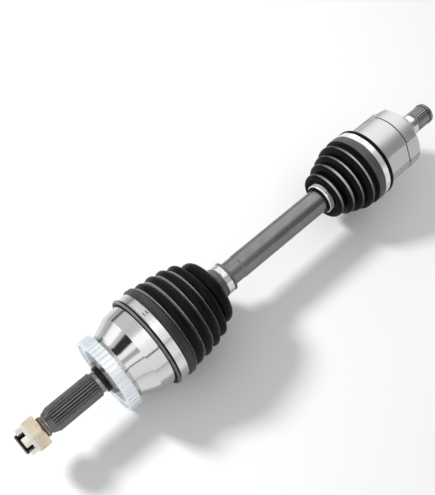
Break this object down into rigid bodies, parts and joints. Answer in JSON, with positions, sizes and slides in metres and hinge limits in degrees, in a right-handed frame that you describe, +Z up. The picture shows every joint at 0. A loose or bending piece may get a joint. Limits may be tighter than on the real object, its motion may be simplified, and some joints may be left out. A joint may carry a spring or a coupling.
{
  "type": "cv axle",
  "caption": "Short front drive shaft: splined stub with castle nut and toothed ring, bellows over a ball joint, plain shaft, bellows over a plunging tripod joint, splined stub.",
  "frame": {"origin": "on the shaft's axis, in the plane of the shoulder that the wheel hub bears on", "axes": "+X along the shaft from the wheel to the gearbox, +Z up, with one lobe of the tripod housing pointing up"},
  "size_m": [0.577, 0.1048, 0.1048],
  "materials": {
    "machined_forging": "bright turned steel on the bell, dark phosphate on the stub",
    "zinc_plate": "clear blue-white zinc plate",
    "yellow_zinc": "pale yellow zinc plate, satin",
    "bearing_steel": "ground and polished",
    "spring_steel": "dark oiled spring steel",
    "shaft_coating": "dark grey satin coating",
    "satin_forging": "satin machined steel",
    "boot_rubber": "black satin elastomer",
    "clamp_steel": "bright stainless strip"
  },
  "bodies": {
    "wheel_joint": {"outer_joint_housing": "machined_forging", "abs_tone_ring": "zinc_plate", "axle_nut": "yellow_zinc", "outer_boot": "boot_rubber", "outer_boot_large_clamp": "clamp_steel"},
    "upper_ball": {"outer_ball_1": "bearing_steel"},
    "lower_ball": {"outer_ball_2": "bearing_steel"},
    "cage": {"outer_cage": "bearing_steel", "outer_ball_3": "bearing_steel", "outer_ball_4": "bearing_steel", "outer_ball_5": "bearing_steel", "outer_ball_6": "bearing_steel"},
    "shaft": {"axle_shaft": "shaft_coating", "outer_inner_race": "bearing_steel", "outer_circlip": "spring_steel", "outer_boot_small_clamp": "clamp_steel", "inner_boot_small_clamp": "clamp_steel", "tripod_spider": "bearing_steel", "spider_circlip_outboard": "spring_steel", "spider_circlip_inboard": "spring_steel", "roller_needles_2": "bearing_steel", "roller_needles_3": "bearing_steel", "roller_washer_1": "bearing_steel", "roller_washer_2": "bearing_steel", "roller_washer_3": "bearing_steel", "roller_snap_ring_1": "spring_steel", "roller_snap_ring_2": "spring_steel", "roller_snap_ring_3": "spring_steel"},
    "needles_1": {"roller_needles_1": "bearing_steel"},
    "gearbox_joint": {"tripod_housing": "satin_forging", "inner_boot": "boot_rubber", "inner_boot_large_clamp": "clamp_steel", "stub_circlip": "spring_steel"},
    "roller_1": {"roller_1": "bearing_steel"},
    "roller_2": {"roller_2": "bearing_steel"},
    "roller_3": {"roller_3": "bearing_steel"}
  },
  "joints": [
    {"name": "outer_tilt", "type": "hinge", "parent": "wheel_joint", "child": "upper_ball", "pos_m": [0.052, 0, 0], "axis": [0, 1, 0], "range_deg": [-9, 9], "deforming": ["outer_boot"]},
    {"name": "outer_swing", "type": "hinge", "parent": "upper_ball", "child": "lower_ball", "pos_m": [0.052, 0, 0], "axis": [0, 0, 1], "range_deg": [-42, 42], "deforming": ["outer_boot"]},
    {"name": "outer_tilt_far", "type": "hinge", "parent": "lower_ball", "child": "shaft", "pos_m": [0.052, 0, 0], "axis": [0, 1, 0], "range_deg": [-9, 9], "deforming": ["outer_boot"]},
    {"name": "cage_swing", "type": "hinge", "parent": "upper_ball", "child": "cage", "pos_m": [0.052, 0, 0], "axis": [0, 0, 1], "range_deg": [-21, 21]},
    {"name": "inner_swing", "type": "hinge", "parent": "shaft", "child": "needles_1", "pos_m": [0.3925, 0, 0], "axis": [0, 0, 1], "range_deg": [-18, 18], "deforming": ["inner_boot"]},
    {"name": "inner_plunge", "type": "slide", "parent": "needles_1", "child": "gearbox_joint", "axis": [1, 0, 0], "range_m": [-0.011, 0.015], "deforming": ["inner_boot"]},
    {"name": "roller_spin_1", "type": "hinge", "parent": "needles_1", "child": "roller_1", "pos_m": [0.3925, 0, 0], "axis": [0, 0, 1], "range_deg": [-60, 44]},
    {"name": "roller_spin_2", "type": "hinge", "parent": "shaft", "child": "roller_2", "pos_m": [0.3925, 0, 0], "axis": [0, -0.866, -0.5], "range_deg": [-60, 44]},
    {"name": "roller_spin_3", "type": "hinge", "parent": "shaft", "child": "roller_3", "pos_m": [0.3925, 0, 0], "axis": [0, 0.866, -0.5], "range_deg": [-60, 44]}
  ],
  "couplings": [
    {"joint": "outer_tilt_far", "follows": "outer_tilt", "ratio": 1},
    {"joint": "cage_swing", "follows": "outer_swing", "ratio": 0.5},
    {"joint": "roller_spin_1", "follows": "inner_plunge", "rad_per_m": -68.966},
    {"joint": "roller_spin_2", "follows": "inner_plunge", "rad_per_m": -68.966},
    {"joint": "roller_spin_3", "follows": "inner_plunge", "rad_per_m": -68.966}
  ]
}
